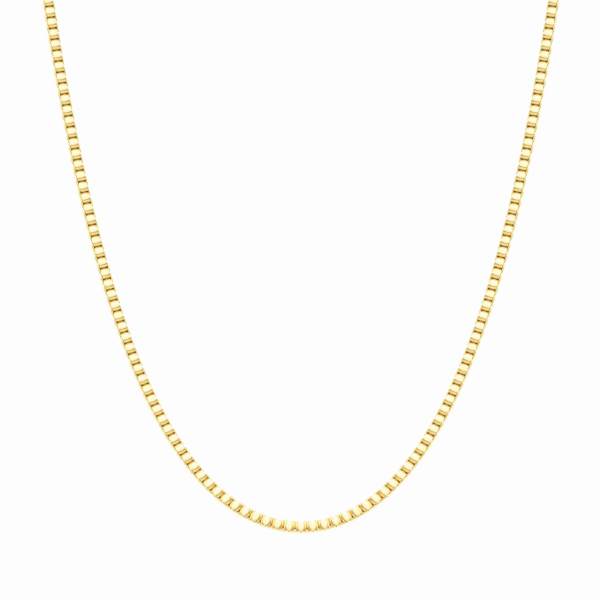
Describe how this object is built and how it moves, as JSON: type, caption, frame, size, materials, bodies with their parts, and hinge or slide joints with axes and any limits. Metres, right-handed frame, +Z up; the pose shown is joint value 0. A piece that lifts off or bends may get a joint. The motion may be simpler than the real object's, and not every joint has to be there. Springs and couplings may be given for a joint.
{
  "type": "box chain necklace",
  "caption": "Gold box chain necklace in its worn form, a closed loop of interlocking box links that hangs in a deep curve in front, with a clasp at the nape.",
  "frame": {"origin": "the nape, at the middle of the closed loop's back, where it sits on the neck", "axes": "+Z up, the front faces -Y, +X to the right seen from the front"},
  "size_m": [0.0912, 0.1081, 0.1282],
  "materials": {
    "chain_gold": "polished yellow gold",
    "clasp_gold": "polished yellow gold with light handling marks"
  },
  "bodies": {
    "root": {"chain_front": "chain_gold", "chain_back": "chain_gold", "end_ring_left": "clasp_gold", "end_ring_right": "clasp_gold", "clasp": "clasp_gold"}
  },
  "joints": []
}
